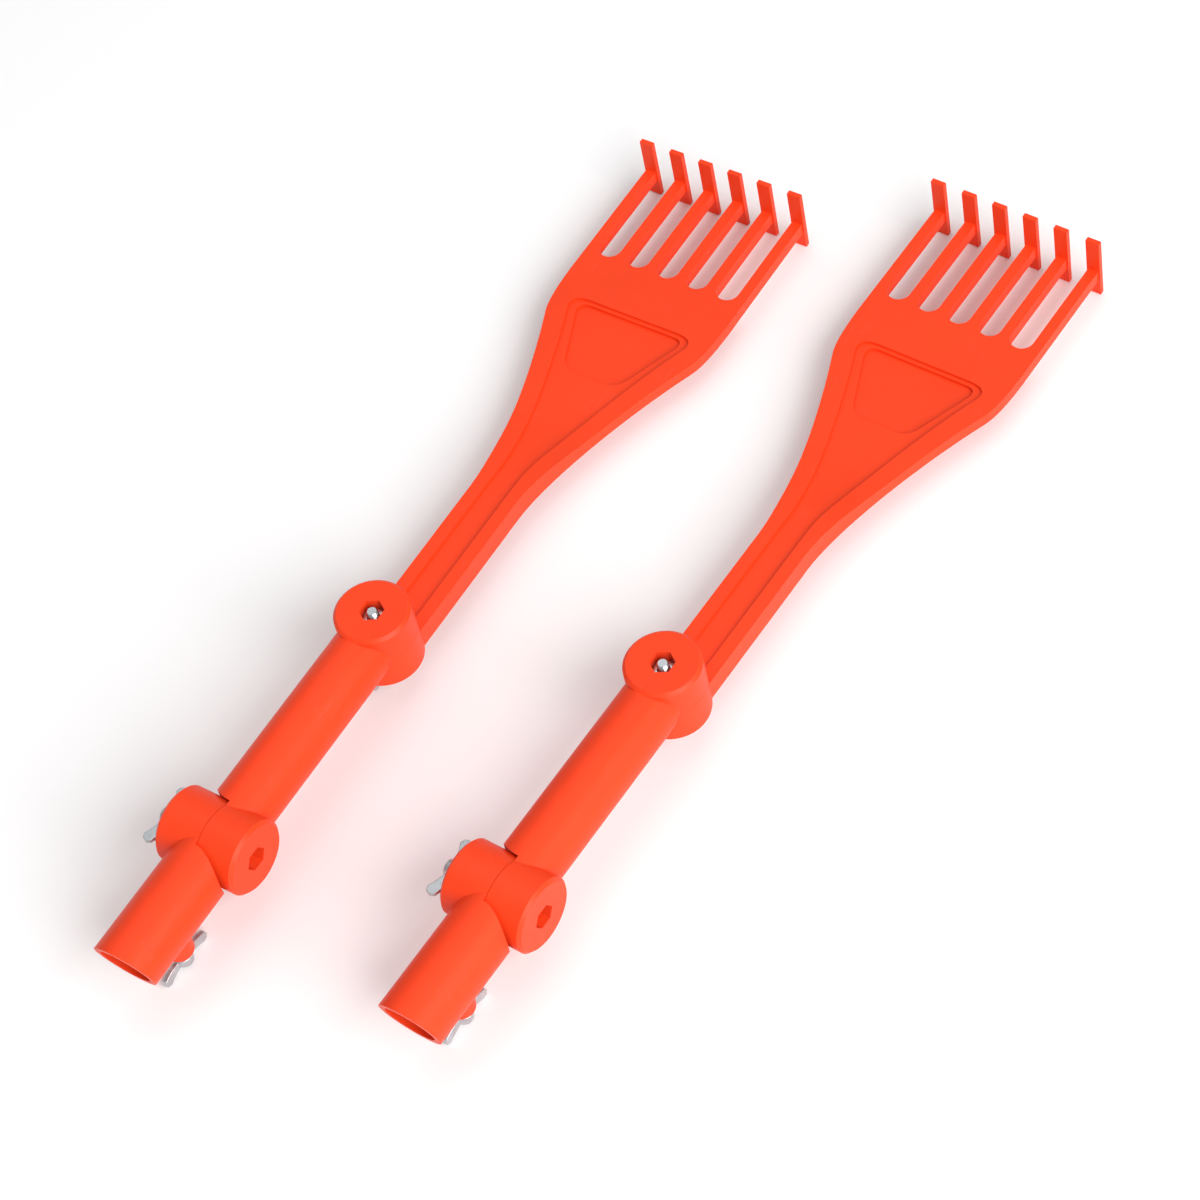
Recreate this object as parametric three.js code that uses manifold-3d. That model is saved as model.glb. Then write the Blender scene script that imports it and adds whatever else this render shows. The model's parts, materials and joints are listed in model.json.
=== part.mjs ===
// A pair of leaf grabber hands. Each hand is a small rake head on a neck link and a pole socket,
// joined by a yaw knuckle and a pitch knuckle that wing screws clamp. Sizes are in millimetres.
// Each hand is drawn in its own frame: X across the blade, Y from the socket to the tines,
// Z out of the blade's upper face, with the origin at the pitch knuckle's axis.
import * as THREE from "three";
import { mergeVertices } from "three/addons/utils/BufferGeometryUtils.js";
import Module from "manifold-3d";

const wasm = await Module();
wasm.setup();

// ---- Driving dimensions ----
const GAP = 0.3; // running clearance between pieces that meet
const PASS = 1; // how far a cutting shape runs past the face it cuts

const POLE_DIAMETER = 25; // the pole that the socket takes
const POLE_FIT = 0.6; // the bore's extra diameter over the pole
const SOCKET_WALL = 3.2;
const SOCKET_LENGTH = 73.5; // mouth to pitch axis, on the pole's axis
const SOCKET_FLOOR = 27; // pitch axis to the bore's floor
const MOUTH_MITRE = 12; // degrees; the mouth's upper side reaches further than its lower side

const LINK_RADIUS = 15;
const LINK_LENGTH = 130.5; // pitch axis to yaw axis
const LINK_CORE_RADIUS = 8; // moulding core, open at the yaw end's cut
const LINK_CORE_DROP = 5.5; // core axis below the link's axis
const LINK_CORE_START = 32; // pitch axis to the core's blind end

const KNUCKLE_RADIUS = 18.7;
const KNUCKLE_CLEAR = 1.8; // cut away past the rim so that the mating half can swing
const KNUCKLE_ROUND = 1.6; // rounding of a knuckle's rim
const PITCH_LINK_HALF = 21; // the link's half of the pitch knuckle, along its axis
const PITCH_SOCKET_HALF = 23.5; // the socket's half
const YAW_UPPER = 16.5; // the link's half of the yaw knuckle
const YAW_LOWER = 20.5; // the rake head's half

const SCREW_RADIUS = 2.95; // M6 stud
const SHANK_CLEAR = 0.35; // round the stud in the mouldings
const NUT_ACROSS_FLATS = 10;
const NUT_THICKNESS = 5;
const NUT_CLEAR = 0.45; // nut to each flat of its pocket
const YAW_NUT_BELOW_FACE = 5.2; // nut's outer face, down its pocket
const YAW_TIP_BELOW_FACE = 0.7; // the stud ends just inside the pocket
const PITCH_NUT_BELOW_FACE = 8;
const PITCH_TIP_BELOW_FACE = 6;
const STUD_CHAMFER = 0.7;
const WASHER_RADIUS = 6.4;
const WASHER_THICKNESS = 1.4;

const HUB_RADIUS = 5.2; // base of the wing head
const HUB_TOP_RADIUS = 4.4;
const HUB_HEIGHT = 6.6;
const HUB_BORE_DEPTH = 5; // how far the stud enters the wing head
const WING_SPAN = 32;
const WING_THICKNESS = 2.4;
const WING_LOBE_RADIUS = 3.2;
const WING_LOBE_HEIGHT = 5.5; // lobe centre above the hub's base

const BOSS_RADIUS = 7; // clamp boss under the socket
const BOSS_HEIGHT = 14.5; // from the socket's wall
const BOSS_CHAMFER = 0.8;
const BOSS_POSITION = 44; // pitch axis to the clamp screw's axis
const INSERT_RADIUS = 4.5; // threaded insert in the boss
const INSERT_LENGTH = 9;
const INSERT_SETBACK = 1.7; // bore wall to the insert
const CLAMP_TIP_SETBACK = 0.4; // bore wall to the clamp screw's tip
const CLAMP_HEAD_CLEAR = 2.7; // boss end to the wing head

const ARM_HALF_WIDTH = 13.3;
const ARM_TOP = -9; // arm's rim, from the link's axis
const BLADE_TOP = -14;
const DROP_START = 95; // along the head, yaw axis to where the top starts to fall
const DROP_END = 168; // and to where it is level again
const FLARE_START = 97;
const FLARE_PULL = 25; // straight pull of the flare's curve at the arm
const SHOULDER_HALF_WIDTH = 43.2;
const SHOULDER_POSITION = 211;
const SHOULDER_SLOPE = 0.42; // half width gained for each millimetre of length
const SHOULDER_PULL = 38;
const BLADE_HALF_WIDTH = 47;
const BLADE_SQUARE_FROM = 245;
const PLATE_THICKNESS = 2.6; // blade and claw plates
const BORDER_THICKNESS = 2.6; // rib that runs round the head's edge and along the slots' ends
const TINE_ROOT = 255.5;
const TINE_LENGTH = 63.2;
const TINE_PITCH = 17.5;
const TINE_WIDTH = 5.6; // the tines are solid bars, as deep as the border
const OUTER_TINE_WIDTH = 5.6;
const CLAW_WIDTH = 7.4;
const CLAW_TOP = 6.2;
const CLAW_FOOT = -30.6;

const CHANNEL_DEPTH = 1.6;
const CHANNEL_HALF_WIDTH = 6.6;
const CHANNEL_STRAIGHT_TO = 112;
const CHANNEL_PULL = 23;
const CHANNEL_SLOPE = 0.41; // half width gained for each millimetre at its wide end
const CHANNEL_TOP_PULL = 28;
const CHANNEL_CORNER = 9;
const LEDGE = 1.9; // channel floor left round the panel's far end
const PANEL_DEPTH = 3.4; // below the blade's rim
const PANEL_NEAR = 184;
const PANEL_FAR = 225;
const PANEL_NEAR_HALF_WIDTH = 15.8;
const PANEL_FAR_HALF_WIDTH = 32.5;
const PANEL_CORNER = 8;
const RIB_THICKNESS = 2; // cross ribs under the arm
const ARM_RIBS = [48, 78, 108, 138]; // along the head, from the yaw axis

const HAND_SPACING = 135.1; // second hand, across the first
const HAND_STAGGER = 34.9; // and along it
const HAND_TURN = -2.1; // degrees that the second hand lies out of line with the first

const ROUND_SEGMENTS = 56;
const SMALL_SEGMENTS = 28;
const CURVE_SEGMENTS = 14;

// ---- Sizes that follow from them ----
const KNUCKLE_SWEEP = KNUCKLE_RADIUS + KNUCKLE_CLEAR;
const THREAD_HOLE_RADIUS = SCREW_RADIUS + GAP;
const SHANK_HOLE_RADIUS = SCREW_RADIUS + SHANK_CLEAR;
const POCKET_ACROSS_FLATS = NUT_ACROSS_FLATS + 2 * NUT_CLEAR;
const PITCH_POCKET_DEPTH = PITCH_NUT_BELOW_FACE + NUT_THICKNESS + GAP;
const YAW_POCKET_DEPTH = YAW_NUT_BELOW_FACE + NUT_THICKNESS + GAP;
const HEAD_UNDERSIDE = -YAW_LOWER; // lower edge of the head's border
const TINE_END = TINE_ROOT + TINE_LENGTH;
const CHANNEL_END = PANEL_FAR + LEDGE;
const CHANNEL_SIDE_TO = CHANNEL_END - CHANNEL_CORNER;
const CHANNEL_TOP_HALF_WIDTH = PANEL_FAR_HALF_WIDTH + LEDGE;
const BORE_RADIUS = (POLE_DIAMETER + POLE_FIT) / 2;
const SOCKET_RADIUS = BORE_RADIUS + SOCKET_WALL;
const BOSS_END = SOCKET_RADIUS + BOSS_HEIGHT; // from the pole's axis
const STUD_END_IN_HUB = HUB_BORE_DEPTH - GAP;
const CLAMP_HUB_BASE = BOSS_END + CLAMP_HEAD_CLEAR;
const WING_TOP = WING_LOBE_HEIGHT + WING_LOBE_RADIUS;
const WING_FOOT = CLAMP_HUB_BASE + WING_TOP; // pole axis to the clamp wings' outer edge

const PLASTIC = { color: 0xf4512a, roughness: 0.45, metalness: 0 };
const ZINC = { color: 0xb9bdc0, roughness: 0.35, metalness: 1 };
const CAST_ZINC = { color: 0xa9adb0, roughness: 0.5, metalness: 1 };
const BRASS = { color: 0xc7a24a, roughness: 0.4, metalness: 1 };

// ---- Helpers ----
function solidOf(geometry) {
  geometry.deleteAttribute("normal");
  geometry.deleteAttribute("uv");
  const merged = mergeVertices(geometry, 1e-4);
  return new wasm.Manifold(
    new wasm.Mesh({
      numProp: 3,
      vertProperties: merged.attributes.position.array,
      triVerts: new Uint32Array(merged.index.array),
    }),
  );
}

function meshOf(solid, name, look) {
  const data = solid.getMesh();
  const geometry = new THREE.BufferGeometry();
  geometry.setAttribute("position", new THREE.BufferAttribute(data.vertProperties, 3));
  geometry.setIndex(new THREE.BufferAttribute(data.triVerts, 1));
  geometry.computeVertexNormals();
  const mesh = new THREE.Mesh(geometry, new THREE.MeshStandardMaterial(look));
  mesh.name = name;
  return mesh;
}

// A round bar along +Z from z0 to z1; chamfers cut its two ends' rims.
function bar(radius, z0, z1, segments = ROUND_SEGMENTS, lowChamfer = 0, highChamfer = 0) {
  const profile = [new THREE.Vector2(0, z0)];
  profile.push(new THREE.Vector2(radius - lowChamfer, z0));
  if (lowChamfer > 0) {
    profile.push(new THREE.Vector2(radius, z0 + lowChamfer));
  }
  if (highChamfer > 0) {
    profile.push(new THREE.Vector2(radius, z1 - highChamfer));
  }
  profile.push(new THREE.Vector2(radius - highChamfer, z1));
  profile.push(new THREE.Vector2(0, z1));
  return solidOf(new THREE.LatheGeometry(profile, segments).rotateX(Math.PI / 2));
}

// A hexagonal bar along +Z, its flats facing +X and -X.
function hexBar(acrossFlats, z0, z1) {
  const corner = acrossFlats / Math.sqrt(3);
  const geometry = new THREE.CylinderGeometry(corner, corner, z1 - z0, 6);
  geometry.rotateX(Math.PI / 2);
  geometry.translate(0, 0, (z0 + z1) / 2);
  return solidOf(geometry);
}

// A plan shape in XY, raised from z0 to z1.
function plate(shape, z0, z1) {
  const geometry = new THREE.ExtrudeGeometry(shape, {
    depth: z1 - z0,
    bevelEnabled: false,
    curveSegments: CURVE_SEGMENTS,
  });
  geometry.translate(0, 0, z0);
  return solidOf(geometry);
}

function block(x0, x1, y0, y1, z0, z1) {
  const geometry = new THREE.BoxGeometry(x1 - x0, y1 - y0, z1 - z0);
  geometry.translate((x0 + x1) / 2, (y0 + y1) / 2, (z0 + z1) / 2);
  return solidOf(geometry);
}

// Turns a solid drawn along +Z so that it lies along +X, or along +Y.
const alongX = (solid) => solid.rotate([0, 90, 0]);
const alongY = (solid) => solid.rotate([-90, 0, 0]);

// ---- Pole socket ----
function poleSocket() {
  const wide = SOCKET_RADIUS + PASS;
  const reach = SOCKET_LENGTH + wide; // clear of the mitred mouth's longest side
  const body = alongY(bar(SOCKET_RADIUS, -reach, 0));
  const mitre = block(-wide, wide, -reach, 0, -reach, reach)
    .rotate([MOUTH_MITRE, 0, 0])
    .translate([0, -SOCKET_LENGTH, 0]);
  const sweep = alongX(bar(KNUCKLE_SWEEP, -GAP / 2, SOCKET_RADIUS + PASS));
  const half = alongX(
    bar(KNUCKLE_RADIUS, -PITCH_SOCKET_HALF, -GAP / 2, ROUND_SEGMENTS, KNUCKLE_ROUND),
  );
  const boss = bar(BOSS_RADIUS, -BOSS_END, -BORE_RADIUS, SMALL_SEGMENTS, BOSS_CHAMFER).translate([
    0,
    -BOSS_POSITION,
    0,
  ]);
  const bore = alongY(bar(BORE_RADIUS, -reach - PASS, -SOCKET_FLOOR));
  const screwHole = alongX(bar(SHANK_HOLE_RADIUS, -PITCH_SOCKET_HALF - PASS, 0, SMALL_SEGMENTS));
  const recessEnd = BORE_RADIUS + INSERT_SETBACK + INSERT_LENGTH + GAP;
  const insertRecess = bar(INSERT_RADIUS + GAP, -recessEnd, 0, SMALL_SEGMENTS);
  const bossHole = bar(SHANK_HOLE_RADIUS, -BOSS_END - PASS, 0, SMALL_SEGMENTS);
  return body
    .subtract(sweep)
    .add(half)
    .add(boss)
    .subtract(mitre)
    .subtract(bore)
    .subtract(screwHole)
    .subtract(insertRecess.add(bossHole).translate([0, -BOSS_POSITION, 0]));
}

// ---- Neck link ----
function neckLink() {
  const tube = alongY(bar(LINK_RADIUS, 0, LINK_LENGTH));
  const pitchSweep = alongX(bar(KNUCKLE_SWEEP, -LINK_RADIUS - PASS, GAP / 2));
  const yawSweep = bar(KNUCKLE_SWEEP, -LINK_RADIUS - PASS, GAP / 2);
  const pitchHalf = alongX(
    bar(KNUCKLE_RADIUS, GAP / 2, PITCH_LINK_HALF, ROUND_SEGMENTS, 0, KNUCKLE_ROUND),
  );
  const yawHalf = bar(KNUCKLE_RADIUS, GAP / 2, YAW_UPPER, ROUND_SEGMENTS, 0, KNUCKLE_ROUND);
  const toYaw = [0, LINK_LENGTH, 0];
  const core = alongY(
    bar(LINK_CORE_RADIUS, LINK_CORE_START, LINK_LENGTH - KNUCKLE_SWEEP + PASS, SMALL_SEGMENTS),
  ).translate([0, 0, -LINK_CORE_DROP]);
  const pitchPocket = alongX(
    hexBar(POCKET_ACROSS_FLATS, PITCH_LINK_HALF - PITCH_POCKET_DEPTH, PITCH_LINK_HALF + PASS),
  );
  const yawPocket = hexBar(POCKET_ACROSS_FLATS, YAW_UPPER - YAW_POCKET_DEPTH, YAW_UPPER + PASS);
  const pitchHole = alongX(bar(SHANK_HOLE_RADIUS, -PASS, PITCH_LINK_HALF, SMALL_SEGMENTS));
  const yawHole = bar(SHANK_HOLE_RADIUS, -PASS, YAW_UPPER, SMALL_SEGMENTS);
  return tube
    .subtract(pitchSweep)
    .subtract(yawSweep.translate(toYaw))
    .add(pitchHalf)
    .add(yawHalf.translate(toYaw))
    .subtract(core)
    .subtract(pitchPocket.add(pitchHole))
    .subtract(yawPocket.add(yawHole).translate(toYaw));
}

// ---- Rake head, drawn with the yaw axis at the origin ----
// The head's edge from above, drawn inset by the given amount.
function headOutline(inset, end) {
  const arm = ARM_HALF_WIDTH - inset;
  const shoulder = SHOULDER_HALF_WIDTH - inset;
  const blade = BLADE_HALF_WIDTH - inset;
  const start = KNUCKLE_RADIUS / 2;
  const corner = SHOULDER_POSITION + (BLADE_HALF_WIDTH - SHOULDER_HALF_WIDTH) / SHOULDER_SLOPE;
  const pullX = SHOULDER_SLOPE * SHOULDER_PULL;
  const shape = new THREE.Shape();
  shape.moveTo(arm, start);
  shape.lineTo(arm, FLARE_START);
  shape.bezierCurveTo(
    arm,
    FLARE_START + FLARE_PULL,
    shoulder - pullX,
    SHOULDER_POSITION - SHOULDER_PULL,
    shoulder,
    SHOULDER_POSITION,
  );
  shape.quadraticCurveTo(blade, corner, blade, BLADE_SQUARE_FROM);
  shape.lineTo(blade, end);
  shape.lineTo(-blade, end);
  shape.lineTo(-blade, BLADE_SQUARE_FROM);
  shape.quadraticCurveTo(-blade, corner, -shoulder, SHOULDER_POSITION);
  shape.bezierCurveTo(
    -shoulder + pullX,
    SHOULDER_POSITION - SHOULDER_PULL,
    -arm,
    FLARE_START + FLARE_PULL,
    -arm,
    FLARE_START,
  );
  shape.lineTo(-arm, start);
  return shape;
}

// Everything below the head's top surface, lowered by the given depth, down to z = floor.
function underTop(depth, floor) {
  const side = new THREE.Shape();
  const armLevel = ARM_TOP - depth;
  const bladeLevel = BLADE_TOP - depth;
  const middle = (DROP_START + DROP_END) / 2;
  side.moveTo(0, floor);
  side.lineTo(TINE_END + PASS, floor);
  side.lineTo(TINE_END + PASS, bladeLevel);
  side.lineTo(DROP_END, bladeLevel);
  side.bezierCurveTo(middle, bladeLevel, middle, armLevel, DROP_START, armLevel);
  side.lineTo(0, armLevel);
  const halfWidth = BLADE_HALF_WIDTH + PASS;
  // Drawn in YZ, then stood up and turned so that the extrusion runs across the blade.
  return plate(side, -halfWidth, halfWidth).rotate([90, 0, 0]).rotate([0, 0, 90]);
}

function channelOutline() {
  const top = CHANNEL_TOP_HALF_WIDTH;
  const pullX = CHANNEL_SLOPE * CHANNEL_TOP_PULL;
  const corner = CHANNEL_CORNER;
  const shape = new THREE.Shape();
  shape.moveTo(CHANNEL_HALF_WIDTH, 0);
  shape.lineTo(CHANNEL_HALF_WIDTH, CHANNEL_STRAIGHT_TO);
  shape.bezierCurveTo(
    CHANNEL_HALF_WIDTH,
    CHANNEL_STRAIGHT_TO + CHANNEL_PULL,
    top - pullX,
    CHANNEL_SIDE_TO - CHANNEL_TOP_PULL,
    top,
    CHANNEL_SIDE_TO,
  );
  shape.quadraticCurveTo(top + corner * CHANNEL_SLOPE, CHANNEL_END, top - corner, CHANNEL_END);
  shape.lineTo(corner - top, CHANNEL_END);
  shape.quadraticCurveTo(-top - corner * CHANNEL_SLOPE, CHANNEL_END, -top, CHANNEL_SIDE_TO);
  shape.bezierCurveTo(
    pullX - top,
    CHANNEL_SIDE_TO - CHANNEL_TOP_PULL,
    -CHANNEL_HALF_WIDTH,
    CHANNEL_STRAIGHT_TO + CHANNEL_PULL,
    -CHANNEL_HALF_WIDTH,
    CHANNEL_STRAIGHT_TO,
  );
  shape.lineTo(-CHANNEL_HALF_WIDTH, 0);
  return shape;
}

// The sunken panel's edge, grown outwards by the given amount, with rounded corners.
function panelOutline(grow) {
  const near = PANEL_NEAR - grow;
  const far = PANEL_FAR + grow;
  const corners = [
    new THREE.Vector2(PANEL_NEAR_HALF_WIDTH + grow, near),
    new THREE.Vector2(PANEL_FAR_HALF_WIDTH + grow, far),
    new THREE.Vector2(-PANEL_FAR_HALF_WIDTH - grow, far),
    new THREE.Vector2(-PANEL_NEAR_HALF_WIDTH - grow, near),
  ];
  const shape = new THREE.Shape();
  corners.forEach((corner, i) => {
    const before = corners[(i + corners.length - 1) % corners.length];
    const after = corners[(i + 1) % corners.length];
    const from = before.clone().sub(corner).setLength(PANEL_CORNER).add(corner);
    const to = after.clone().sub(corner).setLength(PANEL_CORNER).add(corner);
    if (i === 0) {
      shape.moveTo(from.x, from.y);
    } else {
      shape.lineTo(from.x, from.y);
    }
    shape.quadraticCurveTo(corner.x, corner.y, to.x, to.y);
  });
  return shape;
}

// Left and right edges of each tine, from left to right.
function tineEdges() {
  const inner = [-1.5, -0.5, 0.5, 1.5].map((step) => [
    step * TINE_PITCH - TINE_WIDTH / 2,
    step * TINE_PITCH + TINE_WIDTH / 2,
  ]);
  const outer = BLADE_HALF_WIDTH - OUTER_TINE_WIDTH;
  return [[-BLADE_HALF_WIDTH, -outer], ...inner, [outer, BLADE_HALF_WIDTH]];
}

function slotBetween(left, right) {
  const radius = (right - left) / 2;
  const middle = (left + right) / 2;
  const shape = new THREE.Shape();
  shape.moveTo(right, TINE_END + PASS);
  shape.lineTo(left, TINE_END + PASS);
  shape.lineTo(left, TINE_ROOT + radius);
  shape.absarc(middle, TINE_ROOT + radius, radius, Math.PI, 2 * Math.PI, false);
  return plate(shape, HEAD_UNDERSIDE - PASS, BLADE_TOP + PASS);
}

function rakeHead() {
  const floor = HEAD_UNDERSIDE;
  let head = plate(headOutline(0, TINE_END), floor, 0).intersect(underTop(0, floor - PASS));
  // The underside is open, so the head is a skin with a border round its edge. The border also
  // crosses the head at the slots' ends, and the tines past it are solid.
  const inside = BORDER_THICKNESS;
  const skin = CHANNEL_DEPTH + PLATE_THICKNESS;
  const armSkin = underTop(skin, floor - 2 * PASS);
  const bladeSkin = underTop(PLATE_THICKNESS, floor - 2 * PASS);
  const flat = block(
    -BLADE_HALF_WIDTH,
    BLADE_HALF_WIDTH,
    CHANNEL_END + PLATE_THICKNESS,
    TINE_END + PASS,
    floor - PASS,
    0,
  );
  let hollow = plate(headOutline(inside, TINE_ROOT - inside), floor - PASS, 0).intersect(
    armSkin.add(bladeSkin.intersect(flat)),
  );
  const backing = BLADE_TOP - PANEL_DEPTH - PLATE_THICKNESS;
  hollow = hollow.subtract(plate(panelOutline(PLATE_THICKNESS), backing, 0));
  const halfWidth = BLADE_HALF_WIDTH;
  ARM_RIBS.forEach((position) => {
    const rib = block(-halfWidth, halfWidth, position, position + RIB_THICKNESS, floor - PASS, 0);
    hollow = hollow.subtract(rib);
  });
  head = head.subtract(hollow);
  const channel = plate(channelOutline(), floor, 0).subtract(underTop(CHANNEL_DEPTH, floor - PASS));
  const panel = plate(panelOutline(0), BLADE_TOP - PANEL_DEPTH, 0);
  head = head.subtract(channel).subtract(panel);
  const edges = tineEdges();
  edges.slice(1).forEach((edge, i) => {
    head = head.subtract(slotBetween(edges[i][1], edge[0]));
  });
  edges.forEach(([left, right]) => {
    const middle = (left + right) / 2;
    head = head.add(
      block(
        middle - CLAW_WIDTH / 2,
        middle + CLAW_WIDTH / 2,
        TINE_END - PLATE_THICKNESS,
        TINE_END,
        CLAW_FOOT,
        CLAW_TOP,
      ),
    );
  });
  const half = bar(KNUCKLE_RADIUS, -YAW_LOWER, -GAP / 2, ROUND_SEGMENTS, KNUCKLE_ROUND);
  const hole = bar(SHANK_HOLE_RADIUS, -YAW_LOWER - PASS, PASS, SMALL_SEGMENTS);
  return head.add(half).subtract(hole);
}

// ---- Screws, nuts and washers, drawn along +Z ----
// A stud from its chamfered tip at z = tip down to z = end.
function stud(tip, end) {
  return bar(SCREW_RADIUS, end, tip, SMALL_SEGMENTS, STUD_CHAMFER, STUD_CHAMFER);
}

// A cast wing head. Its base is at z = 0 and faces +Z; its wings reach towards -Z.
function wingHead() {
  const hub = solidOf(
    new THREE.CylinderGeometry(HUB_RADIUS, HUB_TOP_RADIUS, HUB_HEIGHT, SMALL_SEGMENTS)
      .rotateX(Math.PI / 2)
      .translate(0, 0, -HUB_HEIGHT / 2),
  );
  const reach = WING_SPAN / 2 - WING_LOBE_RADIUS;
  const rootLow = HUB_HEIGHT - WING_LOBE_RADIUS / 2;
  const wing = new THREE.Shape();
  wing.moveTo(0, 1);
  wing.lineTo(HUB_RADIUS, 1);
  wing.quadraticCurveTo(
    reach - WING_LOBE_RADIUS,
    1,
    reach,
    WING_LOBE_HEIGHT - WING_LOBE_RADIUS,
  );
  wing.absarc(reach, WING_LOBE_HEIGHT, WING_LOBE_RADIUS, -Math.PI / 2, Math.PI / 2, false);
  wing.quadraticCurveTo(reach - WING_LOBE_RADIUS, rootLow, HUB_TOP_RADIUS, rootLow);
  wing.lineTo(0, rootLow);
  const right = plate(wing, -WING_THICKNESS / 2, WING_THICKNESS / 2).rotate([-90, 0, 0]);
  const left = right.rotate([0, 0, 180]);
  const hole = bar(THREAD_HOLE_RADIUS, -HUB_BORE_DEPTH, PASS, SMALL_SEGMENTS);
  return hub.add(right).add(left).rotate([0, 0, 90]).subtract(hole);
}

function hexNut(base) {
  const hole = bar(THREAD_HOLE_RADIUS, base - PASS, base + NUT_THICKNESS + PASS, SMALL_SEGMENTS);
  return hexBar(NUT_ACROSS_FLATS, base, base + NUT_THICKNESS).subtract(hole);
}

function washer(top) {
  const hole = bar(THREAD_HOLE_RADIUS, top - WASHER_THICKNESS - PASS, top + PASS, SMALL_SEGMENTS);
  return bar(WASHER_RADIUS, top - WASHER_THICKNESS, top, SMALL_SEGMENTS).subtract(hole);
}

function threadedInsert(top) {
  const hole = bar(THREAD_HOLE_RADIUS, top - INSERT_LENGTH - PASS, top + PASS, SMALL_SEGMENTS);
  return bar(INSERT_RADIUS, top - INSERT_LENGTH, top, SMALL_SEGMENTS).subtract(hole);
}

// The four pieces that clamp a knuckle, along +Z with the split at z = 0: the nut and the stud's
// tip are in the far half's pocket, and the washer and wing head are under the near half.
function knuckleScrew(farHalf, nearHalf, nutBelowFace, tipBelowFace) {
  const nutBase = farHalf - nutBelowFace - NUT_THICKNESS;
  const washerTop = -nearHalf - GAP;
  const hubBase = washerTop - WASHER_THICKNESS - GAP;
  return {
    nut: hexNut(nutBase),
    stud: stud(farHalf - tipBelowFace, hubBase - STUD_END_IN_HUB),
    washer: washer(washerTop),
    wings: wingHead().translate([0, 0, hubBase]),
  };
}

// ---- One hand ----
function hand(side) {
  const group = new THREE.Group();
  group.name = side + "_hand";
  const put = (solid, piece, look) => group.add(meshOf(solid, side + "_" + piece, look));
  const toYaw = [0, LINK_LENGTH, 0];
  const toClamp = [0, -BOSS_POSITION, 0];
  put(rakeHead().translate(toYaw), "rake_head", PLASTIC);
  put(neckLink(), "neck_link", PLASTIC);
  put(poleSocket(), "pole_socket", PLASTIC);

  const yaw = knuckleScrew(YAW_UPPER, YAW_LOWER, YAW_NUT_BELOW_FACE, YAW_TIP_BELOW_FACE);
  put(yaw.nut.translate(toYaw), "yaw_nut", ZINC);
  put(yaw.stud.translate(toYaw), "yaw_stud", ZINC);
  put(yaw.washer.translate(toYaw), "yaw_washer", ZINC);
  put(yaw.wings.translate(toYaw), "yaw_wings", CAST_ZINC);

  const pitch = knuckleScrew(
    PITCH_LINK_HALF,
    PITCH_SOCKET_HALF,
    PITCH_NUT_BELOW_FACE,
    PITCH_TIP_BELOW_FACE,
  );
  put(alongX(pitch.nut), "pitch_nut", ZINC);
  put(alongX(pitch.stud), "pitch_stud", ZINC);
  put(alongX(pitch.washer), "pitch_washer", ZINC);
  put(alongX(pitch.wings), "pitch_wings", CAST_ZINC);

  const tip = -BORE_RADIUS - CLAMP_TIP_SETBACK;
  const insertTop = -BORE_RADIUS - INSERT_SETBACK;
  put(threadedInsert(insertTop).translate(toClamp), "clamp_insert", BRASS);
  put(stud(tip, -CLAMP_HUB_BASE - STUD_END_IN_HUB).translate(toClamp), "clamp_stud", ZINC);
  put(wingHead().translate([0, -BOSS_POSITION, -CLAMP_HUB_BASE]), "clamp_wings", CAST_ZINC);

  // The hand lies on its claws' feet and its clamp wings, so it leans by the angle between them.
  const run = LINK_LENGTH + TINE_END + BOSS_POSITION;
  group.rotation.order = "ZYX";
  group.rotation.x = -Math.atan2(WING_FOOT + CLAW_FOOT, run);
  return group;
}

// ---- The pair, standing on z = 0 and centred on the origin ----
const group = new THREE.Group();
group.name = "leaf_grabber_hands";
group.add(hand("left"));
const second = hand("right");
second.position.set(HAND_SPACING, HAND_STAGGER, 0);
second.rotation.z = THREE.MathUtils.degToRad(HAND_TURN);
group.add(second);
group.updateMatrixWorld(true);
const bounds = new THREE.Box3().setFromObject(group, true);
const centre = bounds.getCenter(new THREE.Vector3());
group.children.forEach((one) => {
  one.position.sub(new THREE.Vector3(centre.x, centre.y, bounds.min.z));
});

export default group;
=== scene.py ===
"""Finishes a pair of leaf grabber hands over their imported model: mouldings, fixings and stage."""
import json
import math

import bmesh
import bpy
from bpy.props import FloatProperty, FloatVectorProperty, IntProperty, PointerProperty
from mathutils import Matrix, Vector


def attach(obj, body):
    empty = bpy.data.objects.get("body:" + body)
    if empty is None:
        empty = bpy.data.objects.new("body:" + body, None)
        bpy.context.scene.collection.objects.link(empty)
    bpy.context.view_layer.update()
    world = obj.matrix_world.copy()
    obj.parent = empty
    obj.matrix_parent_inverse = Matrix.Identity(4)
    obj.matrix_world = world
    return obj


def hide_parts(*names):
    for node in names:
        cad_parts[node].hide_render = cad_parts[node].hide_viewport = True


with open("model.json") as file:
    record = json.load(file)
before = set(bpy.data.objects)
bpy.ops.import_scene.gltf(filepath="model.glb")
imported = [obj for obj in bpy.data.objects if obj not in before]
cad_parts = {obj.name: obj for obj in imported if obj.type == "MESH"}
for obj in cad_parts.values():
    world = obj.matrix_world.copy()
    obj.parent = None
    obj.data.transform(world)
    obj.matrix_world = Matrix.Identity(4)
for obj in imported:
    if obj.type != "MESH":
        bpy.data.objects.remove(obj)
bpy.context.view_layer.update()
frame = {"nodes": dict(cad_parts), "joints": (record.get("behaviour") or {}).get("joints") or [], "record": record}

bl_info = {
    "name": "Leaf Grabber Hands",
    "version": (1, 0, 0),
    "blender": (4, 5, 0),
    "location": "3D View > Sidebar > Leaf Grabber",
    "description": "Builds the mouldings and fixings of a pair of leaf grabber hands",
    "category": "Object",
}

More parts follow.
